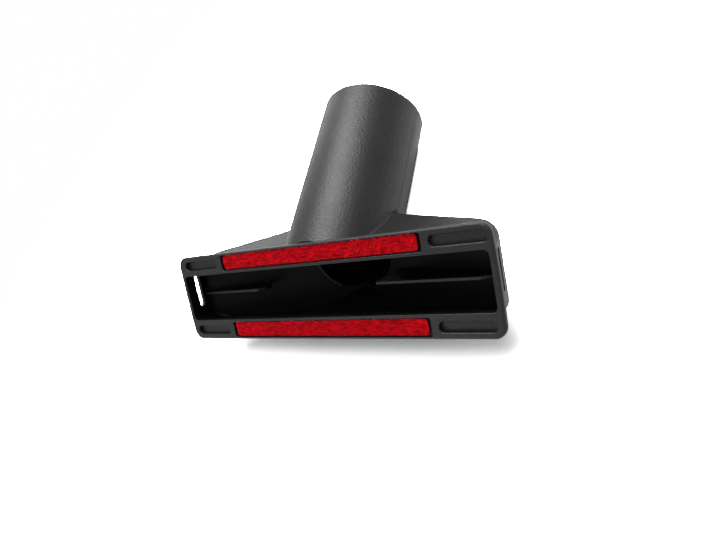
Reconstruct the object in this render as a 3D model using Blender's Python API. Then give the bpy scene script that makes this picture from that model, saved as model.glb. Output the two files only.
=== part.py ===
"""Upholstery nozzle for a vacuum cleaner: one plastic moulding and two fabric lint strips.

The head is drawn in its own frame: X along the mouth, Y across it from the lower lip's
outer edge, Z out of the mouth with the lips' face at 0. The tube leaves that face at an
angle. At the end the whole nozzle is turned onto its back, with the tube lying along +Y.
"""
import math

import bmesh
import bpy
from mathutils import Matrix, Vector

# Driving dimensions, in metres
HEAD_LENGTH = 0.1260
HEAD_HEIGHT = 0.0325
FLANGE_THICKNESS = 0.0025
FLANGE_CORNER_RADIUS = 0.0035
FLANGE_END_BULGE = 0.0004
FLANGE_EDGE_ROUND = 0.0008
UPPER_LIP_WIDTH = 0.0075
LOWER_LIP_WIDTH = 0.0077

SOCKET_RADIUS = 0.0175
SOCKET_TAPER = 0.0002
TUBE_WALL = 0.0020
TUBE_OUTER_RADIUS = SOCKET_RADIUS + TUBE_WALL
TUBE_ANGLE = math.radians(49.4)
TUBE_AXIS_HEIGHT = 0.0018
TUBE_LENGTH = 0.0901
TUBE_SETBACK = 0.0012
TUBE_END_ROUND = 0.0005

FAN_WALL = 0.0014
FAN_TOP_SLOPE = 0.351
FAN_BOTTOM_SLOPE = 0.20
FAN_END_STEP = 0.0008
FAN_CORNER_DEPTH = 0.0126
FAN_END_LEAN = 0.0014
FAN_REAR_SLOPE = 0.323
FAN_CORNER_RADIUS = 0.0070
FAN_END_ROUND = 0.0024
BELLY_RISE = 0.00005
CREASE_RADIUS = 0.0015
CREASE_END = math.radians(85)
CREASE_FADE = 0.25
FADE_LEFT = 0.08
REAR_FILLET_RADIUS = 0.0060
REAR_FILLET_ENDS = (math.radians(70), math.radians(168))
BORE_EDGE_RADIUS = 0.0030
BORE_EDGE_ENDS = (math.radians(70), math.radians(150))

WEB_THICKNESS = 0.0010
RIGHT_WEB_SETBACK = 0.0065
RIGHT_WEB_STEP_SETBACK = 0.0045
RIGHT_WEB_STEP_GAP = 0.0070
RIGHT_WEB_END_SETBACK = 0.0072
RIGHT_WEB_LENGTH = 0.0430
RIGHT_WEB_CORNER = 0.0010
LEFT_WEB_SETBACK = 0.0075
LEFT_WEB_END_SETBACK = 0.0075
LEFT_WEB_LENGTH = 0.0335
LEFT_WEB_END_LEAN = 1.0
LEFT_WEB_CORNER = 0.0048
WEB_END_STRAIGHT = 0.0006

SLOT_LENGTH = 0.0125
SLOT_WIDTH = 0.0028
SLOT_SETBACK = 0.0037
SLOT_TOP_GAP = 0.0004

PAD_LENGTH = 0.0225
SEAT_LENGTH = HEAD_LENGTH - 2 * PAD_LENGTH
SEAT_DEPTH = 0.0012
SEAT_CORNER_RADIUS = 0.0008
UPPER_SEAT_SHIFT = 0.0012
OUTER_RIM = 0.0008
INNER_RIM = 0.0011

POCKET_LENGTH = 0.0172
POCKET_WIDTH = 0.0033
POCKET_DEPTH = 0.0016
POCKET_END_GAP = 0.0028
POCKET_CORNER_RADIUS = 0.0015
POCKET_EDGE_ROUND = 0.0005

STRIP_GAP = 0.0003
STRIP_RECESS = 0.0001

# Facets on a full turn, and on a small rounding
TUBE_FACETS = 72
ROUND_FACETS = 3
FILLET_FACETS = 4
FILLET_STATIONS = 16

# How far a cutter runs past the face that it cuts, how far a joined piece sinks in,
# how far a fillet's round side dips into what it blends with, and the hair's breadth
# that keeps the faces of two helpers out of one plane
OVERRUN = 0.0020
SINK = 0.0006
DIP = 0.00004
HAIR = 0.00002

# Directions and places that follow from the sizes above
TUBE_DIRECTION = Vector((0.0, math.sin(TUBE_ANGLE), -math.cos(TUBE_ANGLE)))
TUBE_TOP = Vector((0.0, math.cos(TUBE_ANGLE), math.sin(TUBE_ANGLE)))
TUBE_START = Vector((0.0, TUBE_AXIS_HEIGHT, 0.0))
HALF_LENGTH = HEAD_LENGTH / 2
TOP_ANGLE = math.atan(FAN_TOP_SLOPE)
BOTTOM_ANGLE = math.atan(FAN_BOTTOM_SLOPE)
MOUTH_TOP = HEAD_HEIGHT - UPPER_LIP_WIDTH
MOUTH_BOTTOM = LOWER_LIP_WIDTH
MOUTH_MIDDLE = (MOUTH_TOP + MOUTH_BOTTOM) / 2
POCKET_MIDDLE_X = HALF_LENGTH - POCKET_END_GAP - POCKET_LENGTH / 2


def clear_scene():
    for old in list(bpy.data.objects):
        bpy.data.objects.remove(old, do_unlink=True)


def make_material(name, colour, roughness):
    material = bpy.data.materials.new(name)
    material.use_nodes = True
    shader = material.node_tree.nodes["Principled BSDF"]
    shader.inputs["Base Color"].default_value = (*colour, 1.0)
    shader.inputs["Roughness"].default_value = roughness
    shader.inputs["Metallic"].default_value = 0.0
    return material


def make_object(name, bm, material=None):
    bmesh.ops.recalc_face_normals(bm, faces=bm.faces)
    mesh = bpy.data.meshes.new(name)
    bm.to_mesh(mesh)
    bm.free()
    obj = bpy.data.objects.new(name, mesh)
    bpy.context.scene.collection.objects.link(obj)
    if material:
        mesh.materials.append(material)
    return obj


def combine(target, bm, name, operation):
    """Joins or cuts a helper solid with a Boolean modifier, and hides the helper."""
    helper = make_object(name, bm)
    helper.hide_render = True
    helper.display_type = "WIRE"
    modifier = target.modifiers.new(name, "BOOLEAN")
    modifier.operation = operation
    modifier.solver = "EXACT"
    modifier.object = helper
    return helper


def arc(centre, radius, start, end, steps):
    points = []
    for i in range(steps + 1):
        angle = start + (end - start) * i / steps
        points.append((centre[0] + radius * math.cos(angle), centre[1] + radius * math.sin(angle)))
    return points


def rounded_rectangle(length, width, radius, bulge=0.0, steps=4):
    """A rectangle about the origin with round corners, and with ends that bow out by bulge."""
    x, y = length / 2 - bulge - radius, width / 2 - radius
    quarter = math.pi / 2
    outline = []
    for turn, (cx, cy) in enumerate(((x, y), (-x, y), (-x, -y), (x, -y))):
        outline += arc((cx, cy), radius, turn * quarter, (turn + 1) * quarter, steps)
        if bulge and turn % 2 == 1:
            outline.append((math.copysign(length / 2, cx), 0.0))
    if bulge:
        outline = spread_bulge(outline, length, width, bulge)
    return outline


def spread_bulge(outline, length, width, bulge):
    """Moves the points out along X so that each end follows one shallow curve."""
    spread = []
    for px, py in outline:
        if abs(py) < 1e-9:
            spread.append((px, py))
            continue
        share = 1.0 - (2 * py / width) ** 2
        spread.append((px + math.copysign(bulge * share, px), py))
    return spread


def plate(outline, centre, low, high):
    """An outline in X and Y, moved to centre and raised from low to high along Z."""
    bm = bmesh.new()
    bottom = [bm.verts.new((x + centre[0], y + centre[1], low)) for x, y in outline]
    top = [bm.verts.new((x + centre[0], y + centre[1], high)) for x, y in outline]
    bridge(bm, [bottom, top])
    return bm


def bridge(bm, rings, closed=False):
    """Side faces between rings of vertices, with both ends capped or joined to each other."""
    pairs = list(zip(rings, rings[1:]))
    if closed:
        pairs.append((rings[-1], rings[0]))
    for lower, upper in pairs:
        for i in range(len(lower)):
            j = (i + 1) % len(lower)
            bm.faces.new((lower[i], lower[j], upper[j], upper[i]))
    if not closed:
        bm.faces.new(list(reversed(rings[0])))
        bm.faces.new(rings[-1])


def edges_at_height(bm, height):
    return [e for e in bm.edges if all(abs(v.co.z - height) < 1e-7 for v in e.verts)]


def round_edges(bm, edges, radius, steps=ROUND_FACETS):
    bmesh.ops.bevel(bm, geom=edges, offset=radius, segments=steps, profile=0.5, affect="EDGES")


def trim(bm, point, normal):
    """Cuts away what lies beyond a plane, on the side its normal points to, and caps the cut."""
    geometry = list(bm.verts) + list(bm.edges) + list(bm.faces)
    cut = bmesh.ops.bisect_plane(bm, geom=geometry, plane_co=point, plane_no=normal, clear_outer=True, dist=1e-7)
    rim = [item for item in cut["geom_cut"] if isinstance(item, bmesh.types.BMEdge)]
    bmesh.ops.holes_fill(bm, edges=rim, sides=0)


def wall_y(base, slope, z):
    """Height of a sloping fan wall that starts at base in the plane of the lips."""
    return base + slope * z


def top_plane(inset):
    """A point on the fan's upper wall and its outward normal, moved inwards by inset."""
    outer = MOUTH_TOP + FAN_WALL / math.cos(TOP_ANGLE)
    point = Vector((0.0, outer - inset / math.cos(TOP_ANGLE), 0.0))
    return point, Vector((0.0, math.cos(TOP_ANGLE), math.sin(TOP_ANGLE)))


def bottom_plane(inset):
    outer = MOUTH_BOTTOM - FAN_WALL / math.cos(BOTTOM_ANGLE)
    point = Vector((0.0, outer + inset / math.cos(BOTTOM_ANGLE), 0.0))
    return point, Vector((0.0, -math.cos(BOTTOM_ANGLE), math.sin(BOTTOM_ANGLE)))


def belly_plane(inset):
    """The flat underside behind the heel, in line with the tube's lowest side."""
    drop = TUBE_OUTER_RADIUS - BELLY_RISE - inset
    return TUBE_START - TUBE_TOP * drop, -TUBE_TOP


def rear_plane(side, inset):
    """The fan's rear wall on one side: a point on it and its outward normal."""
    normal = Vector((side * FAN_REAR_SLOPE, 0.0, -1.0)).normalized()
    corner = Vector((side * fan_corner_x(), 0.0, -FAN_CORNER_DEPTH))
    return corner - normal * inset, normal


def fan_front_x():
    return HALF_LENGTH - FAN_END_STEP


def fan_corner_x():
    return fan_front_x() - FAN_END_LEAN


def line_crossing(p, d, q, e):
    """Where the line through p along d meets the line through q along e, in a plane."""
    across = d[0] * e[1] - d[1] * e[0]
    t = ((q[0] - p[0]) * e[1] - (q[1] - p[1]) * e[0]) / across
    return p[0] + d[0] * t, p[1] + d[1] * t


def fan_side(inset):
    """Point and direction of the fan's end wall in X and Z, running backwards."""
    direction = Vector((-FAN_END_LEAN, -FAN_CORNER_DEPTH)).normalized()
    inwards = Vector((direction.y, -direction.x))
    return Vector((fan_front_x(), 0.0)) + inwards * inset, direction


def fan_rear(inset):
    """Point and direction of the fan's rear wall in X and Z, running to the middle."""
    direction = Vector((-1.0, -FAN_REAR_SLOPE)).normalized()
    inwards = Vector((direction.y, -direction.x))
    return Vector((fan_corner_x(), -FAN_CORNER_DEPTH)) + inwards * inset, direction


def round_corner(before, corner, after, radius, steps):
    """An arc that is tangent to both lines through a corner."""
    to_before = (Vector(before) - Vector(corner)).normalized()
    to_after = (Vector(after) - Vector(corner)).normalized()
    half = to_before.angle(to_after) / 2
    reach = radius / math.tan(half)
    middle = Vector(corner) + (to_before + to_after).normalized() * radius / math.sin(half)
    start = Vector(corner) + to_before * reach - middle
    turn = start.angle_signed(Vector(corner) + to_after * reach - middle)
    points = []
    for i in range(steps + 1):
        points.append(tuple(middle + Matrix.Rotation(-turn * i / steps, 2) @ start))
    return points


def fan_half_outline(inset, front, end_inset=0.0):
    """The fan from the front of one end wall, round its corner and along its rear wall to the middle."""
    side_point, side_direction = fan_side(inset + end_inset)
    rear_point, rear_direction = fan_rear(inset)
    start = line_crossing(side_point, side_direction, (0.0, front), (1.0, 0.0))
    corner = line_crossing(side_point, side_direction, rear_point, rear_direction)
    middle = line_crossing(rear_point, rear_direction, (0.0, 0.0), (0.0, 1.0))
    bend = round_corner(start, corner, middle, FAN_CORNER_RADIUS - inset, 2 * FILLET_FACETS)
    return [start] + bend + [middle]


def fan_ring(bm, inset, front, end_inset, base, slope):
    """The fan's outline on a sloping plane, with its two ends drawn in by end_inset."""
    half = fan_half_outline(inset, front, end_inset)
    outline = half + [(-x, z) for x, z in reversed(half[:-1])]
    return [bm.verts.new((x, wall_y(base, slope, z), z)) for x, z in outline]


def fan_solid(inset, front):
    """The space between the two sloping walls inside the fan's outline, round along its two ends."""
    radius = FAN_END_ROUND - inset
    top = top_plane(inset)[0].y
    bottom = bottom_plane(inset)[0].y
    bm = bmesh.new()
    lower, upper = [], []
    for step in range(ROUND_FACETS + 1):
        angle = math.pi / 2 * step / ROUND_FACETS
        end_inset = radius * (1 - math.sin(angle))
        depth = radius * (1 - math.cos(angle))
        lower.append(fan_ring(bm, inset, front, end_inset, bottom + depth, FAN_BOTTOM_SLOPE))
        upper.append(fan_ring(bm, inset, front, end_inset, top - depth, -FAN_TOP_SLOPE))
    bridge(bm, lower + upper[::-1])
    trim(bm, *belly_plane(inset))
    return bm


def tube_solid(radius, end_radius, end, inset, setback, end_round=0.0):
    """A round bar along the tube's axis, trimmed behind the lips and above the fan's lower wall."""
    bm = bmesh.new()
    rings = []
    for distance, r in ((-OVERRUN, radius), (end, end_radius)):
        centre = TUBE_START + TUBE_DIRECTION * distance
        ring = []
        for i in range(TUBE_FACETS):
            angle = 2 * math.pi * (i + 0.5) / TUBE_FACETS
            offset = Vector((math.sin(angle), 0.0, 0.0)) + TUBE_TOP * math.cos(angle)
            ring.append(bm.verts.new(centre + offset * r))
        rings.append(ring)
    bridge(bm, rings)
    if end_round:
        end_ring = set(rings[1])
        round_edges(bm, [e for e in bm.edges if set(e.verts) <= end_ring], end_round, 2)
    trim(bm, Vector((0.0, 0.0, -setback)), Vector((0.0, 0.0, 1.0)))
    trim(bm, *bottom_plane(inset + HAIR))
    return bm


def rolling_fillet(radius, plane, ball, first, last, fade=0.0):
    """A solid that fills the corner between the tube's round side and a flat wall.

    A ball rolls along the corner and touches both. first and last are angles about the
    tube from its top, and over the last share, fade, the ball shrinks to almost nothing.
    """
    point, normal = plane
    bm = bmesh.new()
    rings = []
    for station in range(FILLET_STATIONS + 1):
        share = station / FILLET_STATIONS
        angle = first + (last - first) * share
        size = ball
        if fade and share > 1.0 - fade:
            size = ball * max(FADE_LEFT, (1.0 - share) / fade)
        outwards = Vector((math.sin(angle), 0.0, 0.0)) + TUBE_TOP * math.cos(angle)
        base = TUBE_START + outwards * (radius + size - DIP)
        along = (size - DIP - (base - point).dot(normal)) / TUBE_DIRECTION.dot(normal)
        centre = base + TUBE_DIRECTION * along
        to_tube = -outwards
        to_wall = -normal
        spread = to_tube.angle(to_wall)
        ring = []
        for step in range(FILLET_FACETS + 1):
            t = step / FILLET_FACETS
            ray = (to_tube * math.sin((1 - t) * spread) + to_wall * math.sin(t * spread)) / math.sin(spread)
            ring.append(bm.verts.new(centre + ray * size))
        corner = centre + (to_tube + to_wall).normalized() * (size / math.cos(spread / 2))
        ring.append(bm.verts.new(centre + to_wall * (size + SINK)))
        ring.append(bm.verts.new(corner + (to_tube + to_wall).normalized() * SINK))
        ring.append(bm.verts.new(centre + to_tube * (size + SINK)))
        rings.append(ring)
    bridge(bm, rings)
    bmesh.ops.triangulate(bm, faces=bm.faces)
    return bm


def crease_angle_at(radius, plane, ball, depth):
    """Angle about the tube where the fillet along a wall has come to a given depth behind the lips."""
    point, normal = plane
    low, high = 0.0, math.pi / 2
    for _ in range(40):
        angle = (low + high) / 2
        outwards = Vector((math.sin(angle), 0.0, 0.0)) + TUBE_TOP * math.cos(angle)
        base = TUBE_START + outwards * (radius + ball)
        along = (ball - (base - point).dot(normal)) / TUBE_DIRECTION.dot(normal)
        if (base + TUBE_DIRECTION * along).z > -depth:
            low = angle
        else:
            high = angle
    return low


def add_fillets(body):
    """Outer fillets: along the crease of the fan's upper wall, and up each rear wall."""
    start = crease_angle_at(TUBE_OUTER_RADIUS, top_plane(0.0), CREASE_RADIUS, TUBE_SETBACK + CREASE_RADIUS)
    for side, name in ((1, "right"), (-1, "left")):
        crease = rolling_fillet(
            TUBE_OUTER_RADIUS, top_plane(0.0), CREASE_RADIUS, side * start, side * CREASE_END, CREASE_FADE
        )
        combine(body, crease, name + "_crease", "UNION")
        first, last = REAR_FILLET_ENDS
        rear = rolling_fillet(
            TUBE_OUTER_RADIUS, rear_plane(side, 0.0), REAR_FILLET_RADIUS, side * first, side * last
        )
        trim(rear, *top_plane(HAIR))
        trim(rear, *bottom_plane(HAIR))
        trim(rear, *belly_plane(HAIR))
        combine(body, rear, name + "_rear_fillet", "UNION")


def cut_cavity(body):
    """The hollow of the fan, the bore that runs into it, and the round edges where they meet."""
    combine(body, fan_solid(FAN_WALL, OVERRUN), "fan_cavity", "DIFFERENCE")
    bore = tube_solid(
        SOCKET_RADIUS - SOCKET_TAPER, SOCKET_RADIUS, TUBE_LENGTH + OVERRUN, FAN_WALL, TUBE_SETBACK + TUBE_WALL
    )
    combine(body, bore, "bore", "DIFFERENCE")
    for side, name in ((1, "right"), (-1, "left")):
        first, last = BORE_EDGE_ENDS
        edge = rolling_fillet(
            SOCKET_RADIUS - SOCKET_TAPER, rear_plane(side, FAN_WALL), BORE_EDGE_RADIUS, side * first, side * last
        )
        trim(edge, *top_plane(FAN_WALL + HAIR))
        trim(edge, *bottom_plane(FAN_WALL + HAIR))
        trim(edge, *belly_plane(FAN_WALL + HAIR))
        combine(body, edge, name + "_bore_edge", "DIFFERENCE")


def web_solid(side, front, end_lean, end_setback, corner):
    """A thin level web from an end wall to near the bore, seated in the walls of the fan.

    front is its front edge in X and Z from the inner end outwards. Behind its round
    corner, the inner end leans outwards to the rear wall by end_lean for each unit of depth.
    """
    inset = FAN_WALL / 2
    half = fan_half_outline(inset, -end_setback)
    rear_point, rear_direction = fan_rear(inset)
    inner = front[0]
    knee = (inner[0], inner[1] - corner - WEB_END_STRAIGHT)
    back = line_crossing(rear_point, rear_direction, knee, (end_lean, -1.0))
    outer = list(front[1:])
    after = outer[0] if outer else half[0]
    outline = half[:-1] + [back, knee] + round_corner(knee, inner, after, corner, FILLET_FACETS) + outer
    bm = bmesh.new()
    low = [bm.verts.new((side * x, MOUTH_MIDDLE - WEB_THICKNESS / 2, z)) for x, z in outline]
    high = [bm.verts.new((side * x, MOUTH_MIDDLE + WEB_THICKNESS / 2, z)) for x, z in outline]
    bridge(bm, [low, high])
    return bm


def slot_solid(side):
    """A bleed slot through an end wall, with round ends."""
    middle_y = MOUTH_TOP - SLOT_TOP_GAP - SLOT_LENGTH / 2
    middle_z = -SLOT_SETBACK - SLOT_WIDTH / 2
    outline = rounded_rectangle(SLOT_LENGTH, SLOT_WIDTH, SLOT_WIDTH / 2 - 1e-5)
    inner = fan_corner_x() - FAN_WALL
    bm = bmesh.new()
    near = [bm.verts.new((side * inner, middle_y + u, middle_z + v)) for u, v in outline]
    far = [bm.verts.new((side * (HALF_LENGTH + OVERRUN), middle_y + u, middle_z + v)) for u, v in outline]
    bridge(bm, [near, far])
    return bm


def pocket_solid(middle):
    """A blind pocket in an end pad, with an eased edge at the face."""
    outline = rounded_rectangle(POCKET_LENGTH, POCKET_WIDTH, POCKET_CORNER_RADIUS)
    sections = [(-POCKET_DEPTH, 0.0), (-POCKET_EDGE_ROUND, 0.0)]
    for step in range(1, ROUND_FACETS + 1):
        angle = math.pi / 2 * step / ROUND_FACETS
        level = HAIR - (POCKET_EDGE_ROUND + HAIR) * (1 - math.sin(angle))
        sections.append((level, POCKET_EDGE_ROUND * (1 - math.cos(angle))))
    bm = bmesh.new()
    rings = []
    for z, grow in sections:
        rings.append(grown_ring(bm, outline, grow, (*middle, z)))
    rings.append(grown_ring(bm, outline, POCKET_EDGE_ROUND, (*middle, OVERRUN)))
    bridge(bm, rings)
    return bm


def grown_ring(bm, outline, grow, centre):
    """One level of a pocket, stretched outwards by grow on every side."""
    ring = []
    for x, y in outline:
        scaled = (x * (1 + 2 * grow / POCKET_LENGTH), y * (1 + 2 * grow / POCKET_WIDTH))
        ring.append(bm.verts.new((centre[0] + scaled[0], centre[1] + scaled[1], centre[2])))
    return ring


def lip_seats():
    """Middle and width of the seat in each lip: the lip between its two rims."""
    upper_low, upper_high = MOUTH_TOP + INNER_RIM, HEAD_HEIGHT - OUTER_RIM
    lower_low, lower_high = OUTER_RIM, MOUTH_BOTTOM - INNER_RIM
    return {
        "upper": ((UPPER_SEAT_SHIFT, (upper_low + upper_high) / 2), upper_high - upper_low),
        "lower": ((0.0, (lower_low + lower_high) / 2), lower_high - lower_low),
    }


def make_flange(material):
    outline = rounded_rectangle(HEAD_LENGTH, HEAD_HEIGHT, FLANGE_CORNER_RADIUS, FLANGE_END_BULGE)
    bm = plate(outline, (0.0, HEAD_HEIGHT / 2), -FLANGE_THICKNESS, 0.0)
    round_edges(bm, edges_at_height(bm, 0.0), FLANGE_EDGE_ROUND)
    return make_object("nozzle_body", bm, material)


def make_body(material):
    body = make_flange(material)
    combine(body, fan_solid(0.0, -FLANGE_THICKNESS + SINK), "fan", "UNION")
    tube = tube_solid(
        TUBE_OUTER_RADIUS, TUBE_OUTER_RADIUS, TUBE_LENGTH, 0.0, TUBE_SETBACK, TUBE_END_ROUND
    )
    combine(body, tube, "tube", "UNION")
    add_fillets(body)
    cut_cavity(body)
    right_step = (HALF_LENGTH - RIGHT_WEB_STEP_GAP, -RIGHT_WEB_STEP_SETBACK)
    right_front = [(HALF_LENGTH - RIGHT_WEB_LENGTH, -RIGHT_WEB_SETBACK), right_step]
    right_web = web_solid(1, right_front, 0.0, RIGHT_WEB_END_SETBACK, RIGHT_WEB_CORNER)
    combine(body, right_web, "right_web", "UNION")
    left_front = [(HALF_LENGTH - LEFT_WEB_LENGTH, -LEFT_WEB_SETBACK)]
    left_web = web_solid(-1, left_front, LEFT_WEB_END_LEAN, LEFT_WEB_END_SETBACK, LEFT_WEB_CORNER)
    combine(body, left_web, "left_web", "UNION")
    for side, name in ((1, "right"), (-1, "left")):
        combine(body, slot_solid(side), name + "_slot", "DIFFERENCE")
    for lip, (middle, width) in lip_seats().items():
        outline = rounded_rectangle(SEAT_LENGTH, width, SEAT_CORNER_RADIUS)
        combine(body, plate(outline, middle, -SEAT_DEPTH, OVERRUN), lip + "_seat", "DIFFERENCE")
        for side, name in ((1, "right"), (-1, "left")):
            pocket = pocket_solid((middle[0] + side * POCKET_MIDDLE_X, middle[1]))
            combine(body, pocket, lip + "_" + name + "_pocket", "DIFFERENCE")
    return body


def make_strip(name, middle, width, material):
    """A strip of pile fabric in its seat, clear of the plastic all round."""
    outline = rounded_rectangle(
        SEAT_LENGTH - 2 * STRIP_GAP, width - 2 * STRIP_GAP, SEAT_CORNER_RADIUS - STRIP_GAP
    )
    bm = plate(outline, middle, -SEAT_DEPTH + STRIP_GAP, -STRIP_RECESS)
    return make_object(name, bm, material)


def lay_down(objects):
    """Turns the nozzle onto its back, with the tube along +Y, and centres it over the origin."""
    turn = Matrix.Rotation(math.pi / 2 - TUBE_ANGLE, 4, "X")
    bpy.context.view_layer.update()
    body = objects[0].evaluated_get(bpy.context.evaluated_depsgraph_get())
    corners = [turn @ v.co for v in body.data.vertices]
    middle_y = (min(c.y for c in corners) + max(c.y for c in corners)) / 2
    floor = min(c.z for c in corners)
    place = Matrix.Translation((0.0, -middle_y, -floor)) @ turn
    for obj in list(bpy.data.objects):
        obj.matrix_world = place


def main():
    clear_scene()
    plastic = make_material("black_plastic", (0.018, 0.018, 0.020), 0.42)
    fabric = make_material("red_pile", (0.50, 0.004, 0.012), 0.9)
    body = make_body(plastic)
    strips = []
    for lip, (middle, width) in lip_seats().items():
        strips.append(make_strip(lip + "_lint_strip", middle, width, fabric))
    lay_down([body] + strips)


main()
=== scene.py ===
import math
import random

import bmesh
import bpy
from mathutils import Matrix, Vector, noise


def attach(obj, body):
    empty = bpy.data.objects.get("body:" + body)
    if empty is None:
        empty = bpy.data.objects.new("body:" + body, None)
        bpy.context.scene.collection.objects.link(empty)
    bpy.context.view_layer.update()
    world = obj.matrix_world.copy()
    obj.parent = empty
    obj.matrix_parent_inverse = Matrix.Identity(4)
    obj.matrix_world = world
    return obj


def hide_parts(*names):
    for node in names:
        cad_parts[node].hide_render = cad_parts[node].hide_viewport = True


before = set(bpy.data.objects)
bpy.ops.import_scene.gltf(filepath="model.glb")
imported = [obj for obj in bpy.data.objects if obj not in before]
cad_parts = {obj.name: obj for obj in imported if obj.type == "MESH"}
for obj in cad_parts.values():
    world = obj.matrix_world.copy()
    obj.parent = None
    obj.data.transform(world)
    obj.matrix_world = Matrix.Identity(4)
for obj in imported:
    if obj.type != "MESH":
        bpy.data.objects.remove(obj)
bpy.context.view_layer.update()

# The camera: its place and axes in the model's frame, and its lens for the photograph's frame
CAMERA_PLACE = (0.11432, -0.09660, 0.15514)
CAMERA_RIGHT = (0.8260, 0.1993, -0.5272)
CAMERA_UP = (0.0671, 0.8940, 0.4430)
CAMERA_BACK = (0.5596, -0.4013, 0.7251)
CAMERA_LENS = 27.785
CAMERA_SENSOR = 36.0
CAMERA_CLIP_START = 0.01

# The lamps: name, place, the point it is turned to, width and height in metres, and power in watts
LAMPS = (
    ("highlight", (-0.144, 0.30, 0.498), (0.0, 0.0, 0.02), (0.22, 0.22), 2.4),
    ("highlight_side", (0.05, 0.29, 0.53), (0.0, 0.0, 0.02), (0.26, 0.22), 2.0),
    ("top", (0.08, 0.02, 1.0), (0.0, 0.0, 0.0), (0.9, 0.9), 2.5),
    ("low_left", (-0.50, 0.50, 0.06), (0.0, 0.0, 0.03), (0.25, 0.30), 0.5),
    ("front", (-0.40, -0.75, 0.20), (0.0, 0.0, 0.02), (0.30, 0.30), 0.9),
)

# The world's strength as a light, and where the camera or a reflection sees it
WORLD_LIGHT = 0.25
WORLD_SEEN = 1.0

# The head's own frame in the model's frame: a turn about X, then this shift
HEAD_SHIFT = Vector((0.0, -0.0459047, 0.0183101))

# The floor's size in metres, its colour, and its colour in reflections
FLOOR_SIZE = 3.0
FLOOR_COLOUR = (0.80, 0.80, 0.80, 1.0)
FLOOR_MIRRORED_COLOUR = (1.00, 1.00, 1.00, 1.0)

# Only the camera sees these colours of the floor. They are above white, so the faint outer part of the
# shadow turns white and its deeper part shows. They paint the shadow by place: the lower colour under the
# head is painted shade that keeps its shadow deep there, and the higher ones in front and behind are
# painted light that wipes out the rest, most of all the tube's shadow behind. The colour changes along Y,
# from front to under and from under to rear, between the places below, which are in metres.
FLOOR_FRONT_COLOUR = (4.50, 4.50, 4.50, 1.0)
FLOOR_UNDER_SHADE_COLOUR = (2.60, 2.60, 2.60, 1.0)
FLOOR_REAR_PAINTED_LIGHT_COLOUR = (18.0, 18.0, 18.0, 1.0)
FRONT_TO = -0.046
UNDER_FROM = -0.040
UNDER_TO = -0.030
REAR_FROM = 0.0

# Distances from the middle, in metres, between which the floor that the camera sees fades to plain white
WHITE_FROM = 0.15
WHITE_FULL = 0.30

# Black plastic: gloss, roughness, tones and depth of grain outside, and on the walls of the hollow, whose
# darker tones and lower gloss are painted shade
PATCH_SCALE = 90.0
GRAIN_SCALE = 1500.0
NOISE_DETAIL = 3.0
OUTSIDE_SPECULAR = 0.34
OUTSIDE_ROUGHNESS = (0.36, 0.46)
OUTSIDE_TONES = ((0.006, 0.006, 0.0065, 1.0), (0.010, 0.010, 0.0105, 1.0))
OUTSIDE_GRAIN = 0.00015
HOLLOW_SHADE_SPECULAR = 0.09
HOLLOW_ROUGHNESS = (0.30, 0.38)
HOLLOW_SHADE_TONES = ((0.0030, 0.0030, 0.0032, 1.0), (0.0050, 0.0050, 0.0052, 1.0))
HOLLOW_GRAIN = 0.00002

# How far behind the lips' face the hollow's darker plastic of painted shade starts, in general and on the
# lower wall, in metres
HOLLOW_SHADE_FROM = 0.0005
HOLLOW_SHADE_FROM_BELOW = 0.0014

# A web's front edge keeps the outside's plastic, so it stays lit amid the painted shade of the hollow. It
# lies no deeper than this, in metres, and its faces' normals lean forwards by more than this share.
WEB_FRONT_TO = 0.0080
WEB_FRONT_FACING = 0.3

# Edge roundings that only the dressed part has, in metres
LIP_EDGE_ROUND = 0.00025
WEB_EDGE_ROUND = 0.00030
FLANGE_BACK_ROUND = 0.0009
FAN_LOW_ROUND = 0.0050

# How much wider the tube's outside is along X at the head than at its open end, as a share
TUBE_SPREAD = 0.036

# The mould line on each side of the tube, in metres, and its start as a share of the tube's radius
LINE_WIDTH = 0.00030
LINE_DEPTH = 0.00025
LINE_FROM = 0.4

# The bends above which an edge in the lips' face is rounded, and above which any edge is shaded as sharp
ROUNDED_ANGLE = math.radians(40)
SMOOTH_ANGLE = math.radians(28)

# How far large faces outweigh small ones in the shading at their edges: 50 is even, 100 the most
NORMAL_WEIGHT = 100

# Places of the extra points along the flange's bowed ends, as shares of their straight part's half height
END_SHARES = (-0.7, -0.35, 0.0, 0.35, 0.7)

# The direction in which the pile leans, as its parts along X and Y
LAY_X = 0.50
LAY_Y = 0.87
PILE_LEAN = Vector((LAY_X, LAY_Y, 0.0))

# The pile strips, in metres: clear of the seat's walls, with tufts that lean across the strip
PILE_SIDE_GAP = 0.00035
PILE_END_GAP = 0.00110
PILE_CORNER = 0.0011
PILE_ROOT = -0.00045
PILE_HEIGHT = 0.00060
PILE_PITCH = 0.00030
PILE_THICKNESS = 0.00017

# The tufts' spread in place, as shares of the pitch, in height, in turn and in thickness
ROW_SHIFT = 0.5
PLACE_SPREAD = 0.4
HEIGHT_SPREAD = 0.15
TURN_SPREAD = 0.4
THICKNESS_SPREAD = (0.8, 1.2)

# Noise in clumps and in streaks along the lay: its scales, and what it adds to height, turn and lean
CLUMP_SCALE = 900
STREAK_SCALE_ACROSS = 1500
STREAK_SCALE_ALONG = 350
STREAK_SEED_STEP = 7.0
CLUMP_HEIGHT = 0.30
STREAK_HEIGHT = 0.30
CLUMP_TURN = 0.5
LEAN_MIDDLE = 0.9
LEAN_STREAK = 0.8

# A tuft's rings from root to tip: share of its height, share of its lean, and girth
TUFT_RINGS = ((0.0, 0.0, 0.8), (0.6, 0.35, 1.0), (0.95, 0.8, 0.55))
TUFT_SIDES = 3

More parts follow.
